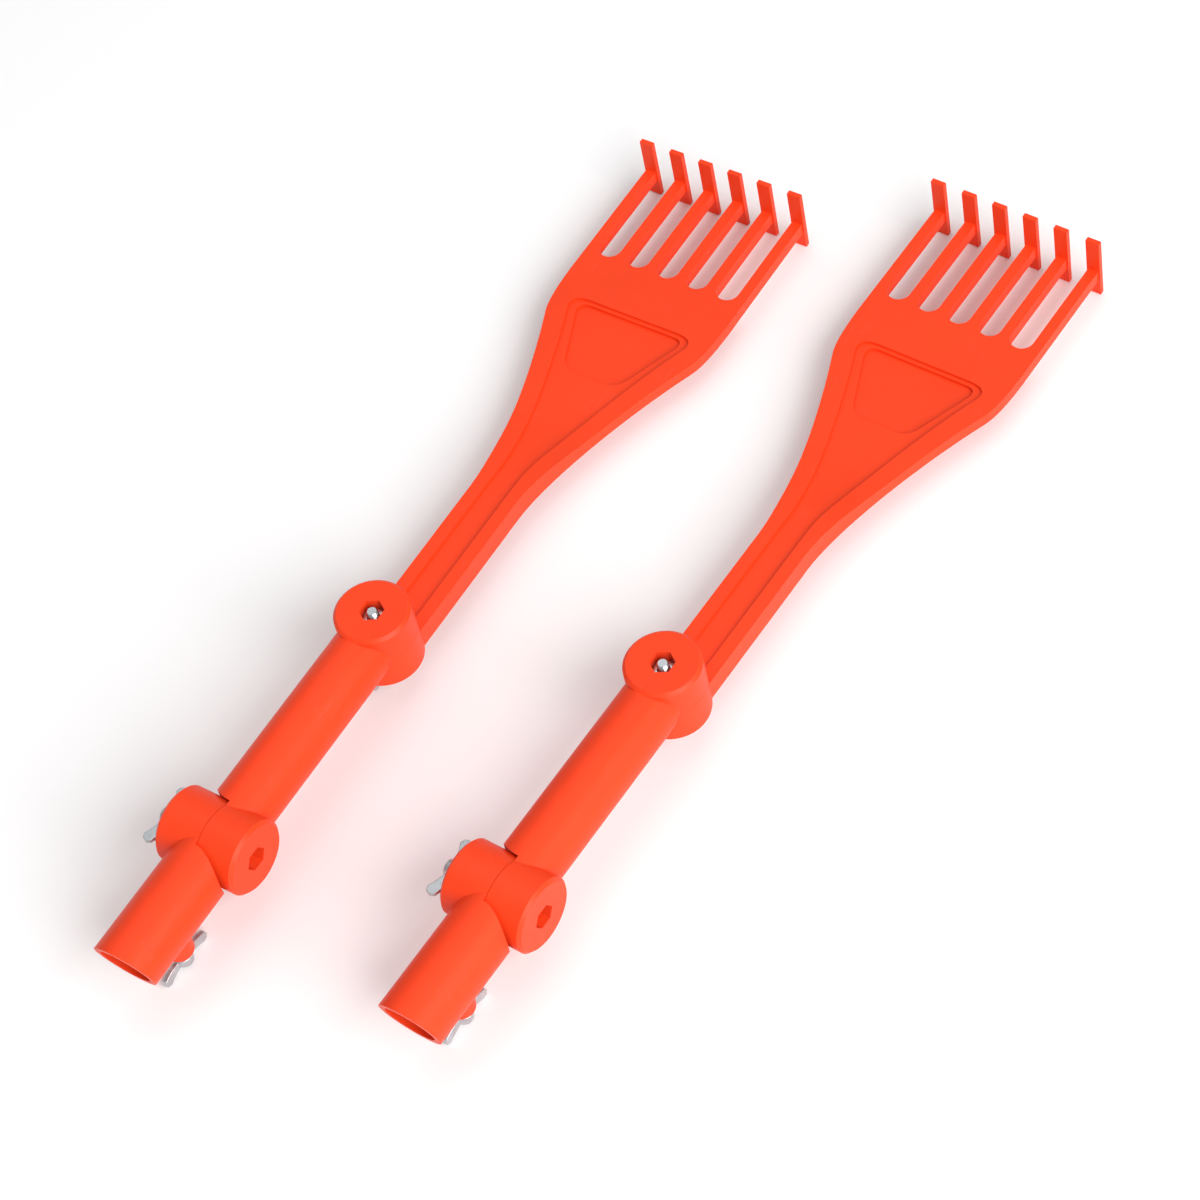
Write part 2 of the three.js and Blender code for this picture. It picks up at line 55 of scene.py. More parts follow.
BODIES = frame["record"]["behaviour"]["bodies"]
JOINTS = {joint["name"]: joint for joint in frame["joints"]}
SLOTS = {part["node"]: part["material_slot"] for part in frame["record"]["subparts"]}
SIDES = ("left", "right")
SCREWS = ("pitch", "yaw", "clamp")
KNUCKLE_SCREWS = SCREWS[:2]
MM = 0.001

# How close two corners are merged, how sharp an edge is rounded, how flat two faces are joined.
MERGE = 0.01 * MM
FINE_MERGE = MERGE / 10
SHARP = math.radians(28)
FLAT = math.radians(0.5)

# An edge of a knuckle's split lies this near the split's plane and this near the pivot.
SPLIT_DEPTH = 0.2 * MM
SPLIT_REACH = 24 * MM

# Fixings: radii of the bores, and the small chamfers and roundings.
THREADED_BORE = 3.45 * MM
WASHER_BORE = 3.28 * MM
WASHER_ROUNDING = 0.28 * MM
STUD_CHAMFER = 0.7 * MM
ROUND_STEPS = 72

# Wing heads: the hub's radius and height above the base in mm, the wings and the stud's core.
HUB_PROFILE = ((0, 0), (5.0, 0), (5.15, 0.5), (4.35, 6.2), (3.6, 6.6), (0, 6.6))
HUB_STEPS = 48
HUB_RADIUS = 5.0 * MM
WING_LOBE = 3.15 * MM
WING_HALF_THICKNESS = 1.15 * MM
CORE_RADIUS = 3.3 * MM
CORE_DEPTH = 5 * MM

# Threaded inserts: the knurl, the chamfers at both ends and the groove round the middle.
KNURL_TEETH = 48
KNURL_DEPTH = 0.28 * MM
INSERT_CHAMFER = 0.5 * MM
GROOVE_DEPTH = 0.6 * MM
GROOVE_HALF = 0.9 * MM
GROOVE_FLOOR_HALF = 0.5 * MM


# ---- Sizes and colours that a user would change ----
class GrabberSizes(bpy.types.PropertyGroup):
    """Sizes of the finish on the mouldings and the fixings."""

    edge_radius: FloatProperty(
        name="Edge radius",
        description="Rounding of the mouldings' edges",
        default=0.8 * MM, min=0.1 * MM, max=1.5 * MM, unit="LENGTH", subtype="DISTANCE",
    )
    split_radius: FloatProperty(
        name="Split radius",
        description="Rounding of the edges where two halves of a knuckle meet",
        default=0.25 * MM, min=0.1 * MM, max=0.8 * MM, unit="LENGTH", subtype="DISTANCE",
    )
    thread_pitch: FloatProperty(
        name="Thread pitch",
        description="Distance from one turn of a thread to the next",
        default=1.0 * MM, min=0.5 * MM, max=1.5 * MM, unit="LENGTH", subtype="DISTANCE",
    )
    thread_depth: FloatProperty(
        name="Thread depth",
        description="Height of a thread's tooth",
        default=0.5 * MM, min=0.1 * MM, max=0.7 * MM, unit="LENGTH", subtype="DISTANCE",
    )
    thread_steps: IntProperty(
        name="Thread steps",
        description="Flats round one turn of a thread",
        default=24, min=12, max=48,
    )
    nut_chamfer: FloatProperty(
        name="Nut chamfer",
        description="How far a nut's corners are turned down",
        default=0.5 * MM, min=0.1 * MM, max=1.0 * MM, unit="LENGTH", subtype="DISTANCE",
    )
    cast_grain: FloatProperty(
        name="Casting detail",
        description="Finest step of the cast wing heads' surface",
        default=0.26 * MM, min=0.2 * MM, max=0.5 * MM, unit="LENGTH", subtype="DISTANCE",
    )


class GrabberColours(bpy.types.PropertyGroup):
    """Colours of the plastic, the metals and the floor."""

    plastic: FloatVectorProperty(
        name="Plastic", description="Colour of the mouldings",
        default=(0.84, 0.051, 0.009), size=3, min=0, max=1, subtype="COLOR",
    )
    zinc: FloatVectorProperty(
        name="Zinc plate", description="Colour of the studs, nuts and washers",
        default=(0.62, 0.65, 0.68), size=3, min=0, max=1, subtype="COLOR",
    )
    casting: FloatVectorProperty(
        name="Cast zinc", description="Colour of the wing heads",
        default=(0.52, 0.54, 0.56), size=3, min=0, max=1, subtype="COLOR",
    )
    brass: FloatVectorProperty(
        name="Brass", description="Colour of the threaded inserts",
        default=(0.62, 0.42, 0.16), size=3, min=0, max=1, subtype="COLOR",
    )
    floor: FloatVectorProperty(
        name="Floor", description="Colour of the floor",
        default=(0.90, 0.90, 0.90), size=3, min=0, max=1, subtype="COLOR",
    )


# ---- Materials ----
class Signal:
    """A number that varies over a surface; sums with it add Math nodes to its finish."""

    def __init__(self, finish, socket):
        self.finish = finish
        self.socket = socket

    def math(self, operation, *values):
        inputs = {index: value for index, value in enumerate(values)}
        made = self.finish.node("ShaderNodeMath", {"operation": operation}, inputs)
        return Signal(self.finish, made.outputs[0])

    def __add__(self, other):
        return self.math("ADD", self, other)

    def __radd__(self, other):
        return self.math("ADD", other, self)

    def __sub__(self, other):
        return self.math("SUBTRACT", self, other)

    def __rsub__(self, other):
        return self.math("SUBTRACT", other, self)

    def __mul__(self, other):
        return self.math("MULTIPLY", self, other)

    def __rmul__(self, other):
        return self.math("MULTIPLY", other, self)

    def __abs__(self):
        return self.math("ABSOLUTE", self)

    def above(self, low, high):
        """0 below low, 1 above high, smooth between them."""
        inputs = {"Value": self, "From Min": low, "From Max": high}
        settings = {"interpolation_type": "SMOOTHSTEP"}
        made = self.finish.node("ShaderNodeMapRange", settings, inputs)
        return Signal(self.finish, made.outputs["Result"])


class Finish:
    """A material and the nodes that work out its surface."""

    def __init__(self, name):
        self.material = bpy.data.materials.new(name)
        self.material.use_nodes = True
        self.tree = self.material.node_tree
        self.tree.nodes.clear()
        self.shader = self.node("ShaderNodeBsdfPrincipled")
        surface = {"Surface": self.shader.outputs["BSDF"]}
        self.node("ShaderNodeOutputMaterial", None, surface)
        self.place = self.node("ShaderNodeTexCoord").outputs["Object"]

    def node(self, kind, settings=None, inputs=None):
        made = self.tree.nodes.new(kind)
        for name, value in (settings or {}).items():
            setattr(made, name, value)
        for name, value in (inputs or {}).items():
            self.feed(made.inputs[name], value)
        return made

    def feed(self, socket, value):
        if isinstance(value, Signal):
            value = value.socket
        if isinstance(value, bpy.types.NodeSocket):
            self.tree.links.new(value, socket)
        else:
            socket.default_value = value

    def noise(self, size, detail=2.0, stretch=None, roughness=0.5):
        """Soft noise with features of about the given size, drawn out along an axis if asked."""
        place = self.place
        if stretch:
            turned = {"Vector": place, "Rotation": stretch[0], "Scale": stretch[1]}
            place = self.node("ShaderNodeMapping", None, turned).outputs["Vector"]
        inputs = {"Vector": place, "Scale": 1 / size, "Detail": detail, "Roughness": roughness}
        made = self.node("ShaderNodeTexNoise", {"noise_dimensions": "3D"}, inputs)
        return Signal(self, made.outputs["Fac"])

    def mark(self, name):
        """1 on the faces that carry a mark, edge or crease, and 0 elsewhere."""
        made = self.node("ShaderNodeAttribute", {"attribute_name": name})
        return Signal(self, made.outputs["Fac"])

    def blend(self, factor, first, second):
        """The first colour at factor 0 and the second at 1; each is a colour or a socket."""
        inputs = {"Factor": factor, 6: (*first, 1) if isinstance(first, tuple) else first}
        inputs[7] = (*second, 1) if isinstance(second, tuple) else second
        made = self.node("ShaderNodeMix", {"data_type": "RGBA", "clamp_factor": True}, inputs)
        return made.outputs[2]

    def relief(self, height, depth):
        """Bump of the given depth from a height between 0 and 1."""
        inputs = {"Height": height, "Distance": depth, "Strength": 1.0}
        return self.node("ShaderNodeBump", None, inputs).outputs["Normal"]

    def set(self, **values):
        """Sets the shader's own sockets, and gives the material."""
        for name, value in values.items():
            self.feed(self.shader.inputs[name.replace("_", " ")], value)
        return self.material


def shade(colour, factor):
    """A darker or lighter colour."""
    return tuple(min(1.0, channel * factor) for channel in colour)


def hairlines(finish, turn, size):
    """Fine long scratches that lie roughly along one direction, here and there."""
    fibre = finish.noise(size, 2.0, ((0, 0, turn), (1.0, 0.06, 1.0)))
    patch = finish.noise(22 * MM, 1.0)
    line = 1 - abs(fibre - 0.5).above(0.0, 0.012)
    return line * patch.above(0.54, 0.68)


def plastic_finish(colour):
    """Injection-moulded polypropylene: slight flow clouds, a satin skin, rubbed edges and painted shade in the
    inner creases.
    """
    made = Finish("orange_moulded_plastic")
    cloud = made.noise(45 * MM, 3.0, ((0, 0, 0.2), (1.0, 0.45, 1.0)))
    mottle = made.noise(6 * MM, 4.0)
    grain = made.noise(0.45 * MM, 2.0)
    swell = made.noise(12 * MM, 1.0)
    scratch = hairlines(made, 0.35, 3.2 * MM) + hairlines(made, -0.9, 4.1 * MM)
    rub = made.mark("edge") * made.noise(2.6 * MM, 4.0).above(0.42, 0.66)
    # Painted shade: the concave fillet faces (the crease mark) are darkened to stand in for the shade that falls
    # in the inner corners.
    crease_shade = made.mark("crease") * (0.80 + (mottle - 0.5) * 0.5)
    tone = 0.5 + (cloud - 0.5) * 1.3 + (mottle - 0.5) * 0.5
    body = made.blend(tone, shade(colour, 0.90), shade(colour, 1.06))
    chalk = tuple(0.82 * channel + 0.10 for channel in colour)
    # The body is darkened towards a deep shade of the plastic where the painted crease shade falls.
    shaded_creases = made.blend(crease_shade, body, shade(colour, 0.42))
    marked = made.blend(rub * 0.45 + scratch * 0.10, shaded_creases, chalk)
    rough = 0.44 + (cloud - 0.5) * 0.12 + (mottle - 0.5) * 0.10 + (grain - 0.5) * 0.08
    height = grain * 0.35 + mottle * 0.25 + swell * 0.9 - scratch * 0.35
    return made.set(
        Base_Color=marked,
        Roughness=rough + rub * 0.14 + scratch * 0.12,
        Normal=made.relief(height, 0.045 * MM),
        IOR=1.49,
        Specular_IOR_Level=0.22,
    )


def zinc_finish(colour):
    """Bright zinc plate over steel: a faint spangle, fine draw lines and duller patches."""
    made = Finish("bright_zinc_plate")
    spangle = made.noise(1.1 * MM, 3.0)
    dull = made.noise(4.5 * MM, 2.0)
    draw = made.noise(0.22 * MM, 2.0, ((0, 0, 0), (1.0, 1.0, 0.1)))
    rub = made.mark("edge") * 0.5
    tone = (spangle - 0.3) * 1.2 + (dull - 0.5) * 0.6 + rub
    body = made.blend(tone, shade(colour, 0.78), shade(colour, 1.18))
    rough = 0.26 + (dull - 0.5) * 0.22 + (spangle - 0.5) * 0.16 + (draw - 0.5) * 0.08
    return made.set(
        Base_Color=body,
        Metallic=1.0,
        Roughness=rough,
        Normal=made.relief(draw * 0.6 + spangle * 0.4, 0.012 * MM),
    )


def casting_finish(colour):
    """Die-cast zinc as it leaves the tumbler: a satin, slightly pitted skin."""
    made = Finish("tumbled_cast_zinc")
    skin = made.noise(0.7 * MM, 3.0)
    stain = made.noise(5.5 * MM, 3.0)
    pits = made.noise(1.3 * MM, 2.0).above(0.62, 0.74)
    tone = 0.5 + (stain - 0.5) * 1.6 + (skin - 0.5) * 0.5 - pits * 0.4
    body = made.blend(tone, shade(colour, 0.80), shade(colour, 1.22))
    rough = 0.40 + (stain - 0.5) * 0.20 + (skin - 0.5) * 0.12 + pits * 0.15
    return made.set(
        Base_Color=body,
        Metallic=1.0,
        Roughness=rough,
        Normal=made.relief(skin * 0.7 - pits * 0.8, 0.05 * MM),
    )


def brass_finish(colour):
    """Turned brass: fine tool rings, a warmer tarnish in patches."""
    made = Finish("turned_brass")
    rings = made.noise(0.3 * MM, 2.0, ((0, 0, 0), (0.1, 0.1, 1.0)))
    tarnish = made.noise(3.5 * MM, 3.0)
    tone = 0.5 + (tarnish - 0.5) * 1.5 + (rings - 0.5) * 0.4
    body = made.blend(tone, shade(colour, 0.72), shade(colour, 1.15))
    rough = 0.30 + (tarnish - 0.5) * 0.20 + (rings - 0.5) * 0.10
    return made.set(
        Base_Color=body, Metallic=1.0, Roughness=rough, Normal=made.relief(rings, 0.02 * MM)
    )


def floor_finish(colour):
    """Plain pale floor, very slightly uneven in tone."""
    made = Finish("pale_floor")
    cloud = made.noise(400 * MM, 2.0)
    body = made.blend(cloud, shade(colour, 0.985), colour)
    return made.set(Base_Color=body, Roughness=0.8 + (cloud - 0.5) * 0.05, Specular_IOR_Level=0.2)


FINISHES = {
    "orange_plastic": ("plastic", plastic_finish),
    "zinc_steel": ("zinc", zinc_finish),
    "cast_zinc": ("casting", casting_finish),
    "brass": ("brass", brass_finish),
}
finishes_made = {}


def finish_of(slot, colours):
    """The material of a record slot, made once."""
    if slot not in finishes_made:
        colour_name, make = FINISHES[slot]
        finishes_made[slot] = make(tuple(getattr(colours, colour_name)))
    return finishes_made[slot]


# ---- Places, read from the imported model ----
def hand_axes(side):
    """The hand's own axes: X across the blade, Y from socket to tines, Z out of the blade."""
    across = Vector(JOINTS[f"{side}_pitch_pivot"]["axis"]).normalized()
    up = Vector(JOINTS[f"{side}_yaw_pivot"]["axis"]).normalized()
    along = up.cross(across).normalized()
    turn = Matrix((across, along, up)).transposed().to_4x4()
    return Matrix.Translation(JOINTS[f"{side}_pitch_pivot"]["pos_m"]) @ turn


def screw_axes(side, screw):
    """A screw's own axes: Z from its wing head to its tip, on the screw's axis."""
    joint = JOINTS[f"{side}_{screw}_wing_turn"]
    out = Vector(joint["axis"]).normalized()
    hand = hand_axes(side)
    along = hand.col[1].xyz
    turn = Matrix((along.cross(-out), along, -out)).transposed().to_4x4()
    return Matrix.Translation(joint["pos_m"]) @ turn


def span(node, axes):
    """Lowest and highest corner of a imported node, in the given axes."""
    inverse = axes.inverted()
    points = [inverse @ vertex.co for vertex in frame["nodes"][node].data.vertices]
    low = Vector(min(point[axis] for point in points) for axis in range(3))
    high = Vector(max(point[axis] for point in points) for axis in range(3))
    return low, high


# ---- Mesh helpers ----
def body_of(node):
    """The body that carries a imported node."""
    return next(body for body, members in BODIES.items() if node in members)


def mesh_from(bm, name):
    """Writes a bmesh to a new mesh and frees it."""
    mesh = bpy.data.meshes.new(name)
    bm.to_mesh(mesh)
    bm.free()
    return mesh


def place_piece(bm, name, node, colours, axes=None, smooth_angle=40):
    """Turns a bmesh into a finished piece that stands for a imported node."""
    if axes is not None:
        bmesh.ops.transform(bm, matrix=axes, verts=bm.verts)
    bmesh.ops.recalc_face_normals(bm, faces=bm.faces)
    mesh = mesh_from(bm, name)
    piece = bpy.data.objects.new(name, mesh)
    bpy.context.scene.collection.objects.link(piece)
    mesh.materials.append(finish_of(SLOTS[node], colours))
    mesh.shade_smooth()
    mesh.set_sharp_from_angle(angle=math.radians(smooth_angle))
    even = piece.modifiers.new("even_normals", "WEIGHTED_NORMAL")
    even.keep_sharp = True
    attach(piece, body_of(node))
    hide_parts(node)
    return piece


def revolve(bm, profile, steps):
    """Spins (radius, height) points round Z into a closed solid."""
    verts = [bm.verts.new((radius, 0, height)) for radius, height in profile]
    edges = [bm.edges.new(pair) for pair in zip(verts, verts[1:])]
    bmesh.ops.spin(
        bm, geom=verts + edges, cent=(0, 0, 0), axis=(0, 0, 1), angle=2 * math.pi,
        steps=steps, use_merge=True,
    )
    bmesh.ops.remove_doubles(bm, verts=bm.verts, dist=FINE_MERGE)
    bmesh.ops.recalc_face_normals(bm, faces=bm.faces)


def solid_object(bm, name):
    """A temporary object for a boolean cut."""
    thing = bpy.data.objects.new(name, mesh_from(bm, name))
    bpy.context.scene.collection.objects.link(thing)
    return thing


def drop(*things):
    """Removes temporary objects and their meshes."""
    for thing in things:
        mesh = thing.data
        bpy.data.objects.remove(thing)
        bpy.data.meshes.remove(mesh)


def applied(thing):
    """A bmesh of an object with its modifiers applied; the object is removed."""
    graph = bpy.context.evaluated_depsgraph_get()
    bm = bmesh.new()
    bm.from_mesh(thing.evaluated_get(graph).data)
    drop(thing)
    return bm


def combine(first, second, operation):
    """The boolean of two bmeshes, as a new bmesh."""
    body, tool = solid_object(first, "body"), solid_object(second, "tool")
    cut = body.modifiers.new("cut", "BOOLEAN")
    cut.operation, cut.solver, cut.object = operation, "EXACT", tool
    cut.use_self = True
    made = applied(body)
    drop(tool)
    bmesh.ops.remove_doubles(made, verts=made.verts, dist=FINE_MERGE)
    return made


def mark_faces(bm, name, faces):
    """Marks faces by name, so that their finish can show wear on the rounded edges or painted shade in the inner
    creases.
    """
    layer = bm.loops.layers.float_color.new(name)
    marked = set(faces)
    for face in bm.faces:
        value = 1.0 if face in marked else 0.0
        for loop in face.loops:
            loop[layer] = (value, value, value, 1.0)


def bulges(face):
    """Tells whether a face belongs to a rounded outer edge rather than an inner corner."""
    return sum(edge.calc_face_angle_signed(0.0) for edge in face.edges) > 0


def round_edges(bm, radius, wanted, segments):
    """Rounds every wanted edge that turns sharply, inner corners too."""
    sharp = [
        edge for edge in bm.edges
        if len(edge.link_faces) == 2 and edge.calc_face_angle(0) > SHARP and wanted(edge)
    ]
    made = bmesh.ops.bevel(
        bm, geom=sharp, offset=radius, offset_type="OFFSET", affect="EDGES",
        segments=segments, profile=0.5, material=-1, clamp_overlap=True,
    )
    return made["faces"]


def mating(side):
    """Tells whether an edge lies on the split of one of the hand's knuckles."""
    splits = [
        (Vector(JOINTS[f"{side}_{pivot}_pivot"]["pos_m"]),
         Vector(JOINTS[f"{side}_{pivot}_pivot"]["axis"]).normalized())
        for pivot in ("pitch", "yaw")
    ]

    def on_split(edge):
        return any(
            all(abs((vertex.co - middle).dot(axis)) < SPLIT_DEPTH for vertex in edge.verts)
            and (edge.verts[0].co - middle).length < SPLIT_REACH
            for middle, axis in splits
        )

    return on_split


def moulding(side, name, node, sizes, colours):
    """A moulded piece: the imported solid, merged, with every edge rounded."""
    bm = bmesh.new()
    bm.from_mesh(frame["nodes"][f"{side}_{node}"].data)
    bmesh.ops.remove_doubles(bm, verts=bm.verts, dist=MERGE)
    bmesh.ops.dissolve_limit(bm, angle_limit=FLAT, verts=bm.verts, edges=bm.edges)
    on_split = mating(side)
    rounded = round_edges(bm, sizes.edge_radius, lambda edge: not on_split(edge), 3)
    mark_faces(bm, "edge", [face for face in rounded if bulges(face)])
    # The inner fillets are marked as creases, where the plastic's finish paints shade.
    mark_faces(bm, "crease", [face for face in rounded if not bulges(face)])
    round_edges(bm, sizes.split_radius, on_split, 2)
    bmesh.ops.dissolve_degenerate(bm, dist=FINE_MERGE / 10, edges=bm.edges)
    return place_piece(bm, f"{side}_{name}", f"{side}_{node}", colours)


def threaded_rod(radius, low, high, sizes):
    """A threaded bar along Z: one tooth spun up the helix, then cut flat at both ends."""
    pitch, depth, steps = sizes.thread_pitch, sizes.thread_depth, sizes.thread_steps
    first = math.floor(low / pitch) - 1
    turns = math.ceil(high / pitch) + 1 - first
    start = first * pitch
    crest = 0.08 * pitch
    profile = [
        (radius - depth, start),
        (radius, start + pitch / 2 - crest),
        (radius, start + pitch / 2 + crest),
        (radius - depth, start + pitch),
    ]
    bm = bmesh.new()
    verts = [bm.verts.new((across, 0, height)) for across, height in profile]
    edges = [bm.edges.new(pair) for pair in zip(verts, verts[1:])]
    bmesh.ops.spin(
        bm, geom=verts + edges, cent=(0, 0, 0), axis=(0, 0, 1), angle=2 * math.pi * turns,
        steps=steps * turns, dvec=(0, 0, pitch / steps), use_merge=False,
    )
    bmesh.ops.remove_doubles(bm, verts=bm.verts, dist=FINE_MERGE)
    for height, outwards in ((low, -1), (high, 1)):
        bmesh.ops.bisect_plane(
            bm, geom=bm.verts[:] + bm.edges[:] + bm.faces[:], plane_co=(0, 0, height),
            plane_no=(0, 0, outwards), clear_outer=True,
        )
    rims = [edge for edge in bm.edges if edge.is_boundary]
    bmesh.ops.holes_fill(bm, edges=rims, sides=0)
    bmesh.ops.recalc_face_normals(bm, faces=bm.faces)
    return bm


def turn_down(bm, low, high, radius, chamfer):
    """Chamfers both ends of a bar by drawing its rims inwards."""
    for vertex in bm.verts:
        height = min(vertex.co.z - low, high - vertex.co.z)
        allowed = radius - max(0.0, chamfer - height)
        across = vertex.co.xy.length
        if across > allowed:
            vertex.co.xy *= allowed / across


# ---- Operators ----
class LEAFGRAB_OT_rake_heads(bpy.types.Operator):
    """Mould both rake heads"""

    bl_idname = "leafgrab.rake_heads"
    bl_label = "Rake Heads"

    def execute(self, context):
        scene = context.scene
        for side in SIDES:
            moulding(side, "head_moulding", "rake_head",
                     scene.grabber_sizes, scene.grabber_colours)
        return {"FINISHED"}


class LEAFGRAB_OT_neck_links(bpy.types.Operator):
    """Mould both neck links"""

    bl_idname = "leafgrab.neck_links"
    bl_label = "Neck Links"

    def execute(self, context):
        scene = context.scene
        for side in SIDES:
            moulding(side, "link_moulding", "neck_link",
                     scene.grabber_sizes, scene.grabber_colours)
        return {"FINISHED"}


class LEAFGRAB_OT_pole_sockets(bpy.types.Operator):
    """Mould both pole sockets"""

    bl_idname = "leafgrab.pole_sockets"
    bl_label = "Pole Sockets"

    def execute(self, context):
        scene = context.scene
        for side in SIDES:
            moulding(side, "socket_moulding", "pole_socket",
                     scene.grabber_sizes, scene.grabber_colours)
        return {"FINISHED"}


class LEAFGRAB_OT_studs(bpy.types.Operator):
    """Cut the threaded studs"""

    bl_idname = "leafgrab.studs"
    bl_label = "Studs"

    def execute(self, context):
        scene = context.scene
        sizes = scene.grabber_sizes
        for side in SIDES:
            for screw in SCREWS:
                node = f"{side}_{screw}_stud"
                axes = screw_axes(side, screw)
                low, high = span(node, axes)
                radius = high.x
                bm = threaded_rod(radius, low.z, high.z, sizes)
                turn_down(bm, low.z, high.z, radius, STUD_CHAMFER)
                place_piece(bm, f"{side}_{screw}_threaded_stud", node,
                            scene.grabber_colours, axes, smooth_angle=30)
        return {"FINISHED"}


class LEAFGRAB_OT_nuts(bpy.types.Operator):
    """Make the hexagon nuts"""

    bl_idname = "leafgrab.nuts"
    bl_label = "Nuts"

    def execute(self, context):
        scene = context.scene
        sizes = scene.grabber_sizes
        for side in SIDES:
            for screw in KNUCKLE_SCREWS:
                node = f"{side}_{screw}_nut"
                axes = screw_axes(side, screw)
                low, high = span(node, axes)
                thickness = high.z - low.z
                across_flats = min(high.x - low.x, high.y - low.y)
                corner = across_flats / math.sqrt(3)
                flats_face_x = (high.x - low.x) < (high.y - low.y)
                turn = math.radians(30) if flats_face_x else 0.0
                bm = bmesh.new()
                bmesh.ops.create_cone(
                    bm, segments=6, radius1=corner, radius2=corner, depth=thickness,
                    cap_ends=True,
                    matrix=Matrix.Translation((0, 0, (low.z + high.z) / 2))
                    @ Matrix.Rotation(turn, 4, "Z"),
                )
                dome = bmesh.new()
                cut_in, cut_down = 2 * sizes.nut_chamfer, 0.6 * sizes.nut_chamfer
                revolve(dome, [
                    (0, low.z), (corner - cut_in, low.z), (corner, low.z + cut_down),
                    (corner, high.z - cut_down), (corner - cut_in, high.z), (0, high.z),
                ], ROUND_STEPS)
                bm = combine(bm, dome, "INTERSECT")
                bore = threaded_rod(THREADED_BORE, low.z - MM, high.z + MM, sizes)
                bm = combine(bm, bore, "DIFFERENCE")
                place_piece(bm, f"{side}_{screw}_hexagon_nut", node,
                            scene.grabber_colours, axes, smooth_angle=25)
        return {"FINISHED"}


class LEAFGRAB_OT_washers(bpy.types.Operator):
    """Punch the washers"""

    bl_idname = "leafgrab.washers"
    bl_label = "Washers"

    def execute(self, context):
        scene = context.scene
        for side in SIDES:
            for screw in KNUCKLE_SCREWS:
                node = f"{side}_{screw}_washer"
                axes = screw_axes(side, screw)
                low, high = span(node, axes)
                outer, inner = high.x, WASHER_BORE
                bm = bmesh.new()
                revolve(bm, [
                    (inner, low.z), (outer, low.z), (outer, high.z), (inner, high.z),
                    (inner, low.z),
                ], ROUND_STEPS)
                square = math.radians(60)
                rims = [edge for edge in bm.edges if edge.calc_face_angle(0) > square]
                made = bmesh.ops.bevel(
                    bm, geom=rims, offset=WASHER_ROUNDING, affect="EDGES", segments=3,
                    profile=0.5, material=-1,
                )
                mark_faces(bm, "edge", made["faces"])
                place_piece(bm, f"{side}_{screw}_punched_washer", node,
                            scene.grabber_colours, axes)
        return {"FINISHED"}


class LEAFGRAB_OT_wing_heads(bpy.types.Operator):
    """Cast the wing heads"""

    bl_idname = "leafgrab.wing_heads"
    bl_label = "Wing Heads"

    def execute(self, context):
        scene = context.scene
        for side in SIDES:
            for screw in SCREWS:
                self.cast(side, screw, scene.grabber_sizes, scene.grabber_colours)
        return {"FINISHED"}

    def cast(self, side, screw, sizes, colours):
        """A hub with two lobed wings, cored for the stud, then fused and softened as one skin."""
        node = f"{side}_{screw}_wings"
        axes = screw_axes(side, screw)
        low, high = span(node, axes)
        base, end = high.z, low.z
        reach = max(high.x, high.y)
        first_turn = math.pi / 2 if high.y > high.x else 0
        bm = bmesh.new()
        hub = [(radius * MM, base - height * MM) for radius, height in HUB_PROFILE]
        revolve(bm, hub, HUB_STEPS)
        for turn in (0, math.pi):
            self.wing(bm, base, end, reach, turn + first_turn)
        bmesh.ops.recalc_face_normals(bm, faces=bm.faces)
        core = bmesh.new()
        revolve(core, [
            (0, base - CORE_DEPTH), (CORE_RADIUS, base - CORE_DEPTH),
            (CORE_RADIUS, base + MM), (0, base + MM),
        ], HUB_STEPS)
        bm = combine(bm, core, "DIFFERENCE")
        thing = solid_object(bm, "casting")
        fuse = thing.modifiers.new("fuse", "REMESH")
        fuse.mode, fuse.voxel_size = "VOXEL", sizes.cast_grain
        soft = thing.modifiers.new("soft", "SMOOTH")
        soft.factor, soft.iterations = 0.5, 4
        bm = applied(thing)
        place_piece(bm, f"{side}_{screw}_wing_casting", node, colours, axes, smooth_angle=60)

    def wing(self, bm, base, end, reach, turn):
        """One wing: its side view drawn flat, thickened, then turned round the hub."""
        lobe, thick = WING_LOBE, WING_HALF_THICKNESS
        diagonal = 0.7 * lobe
        lobe_x, lobe_z = reach - lobe, end + lobe
        root_low, root_high = base - 1.2 * MM, base - 5.6 * MM
        outline = [
            (0, root_low), (HUB_RADIUS, root_low), (lobe_x - lobe, base - 1.5 * MM),
            (lobe_x, lobe_z + lobe), (lobe_x + diagonal, lobe_z + diagonal),
            (lobe_x + lobe, lobe_z), (lobe_x + diagonal, lobe_z - diagonal),
            (lobe_x, lobe_z - lobe), (lobe_x - 0.8 * lobe, lobe_z - 0.6 * lobe),
            (HUB_RADIUS, root_high), (0, root_high),
        ]
        near = [bm.verts.new((x, -thick, z)) for x, z in outline]
        made = bmesh.ops.extrude_face_region(bm, geom=[bm.faces.new(near)])
        far = [item for item in made["geom"] if isinstance(item, bmesh.types.BMVert)]
        bmesh.ops.translate(bm, vec=(0, 2 * thick, 0), verts=far)
        spin = Matrix.Rotation(turn, 4, "Z")
        bmesh.ops.transform(bm, matrix=spin, verts=near + far)


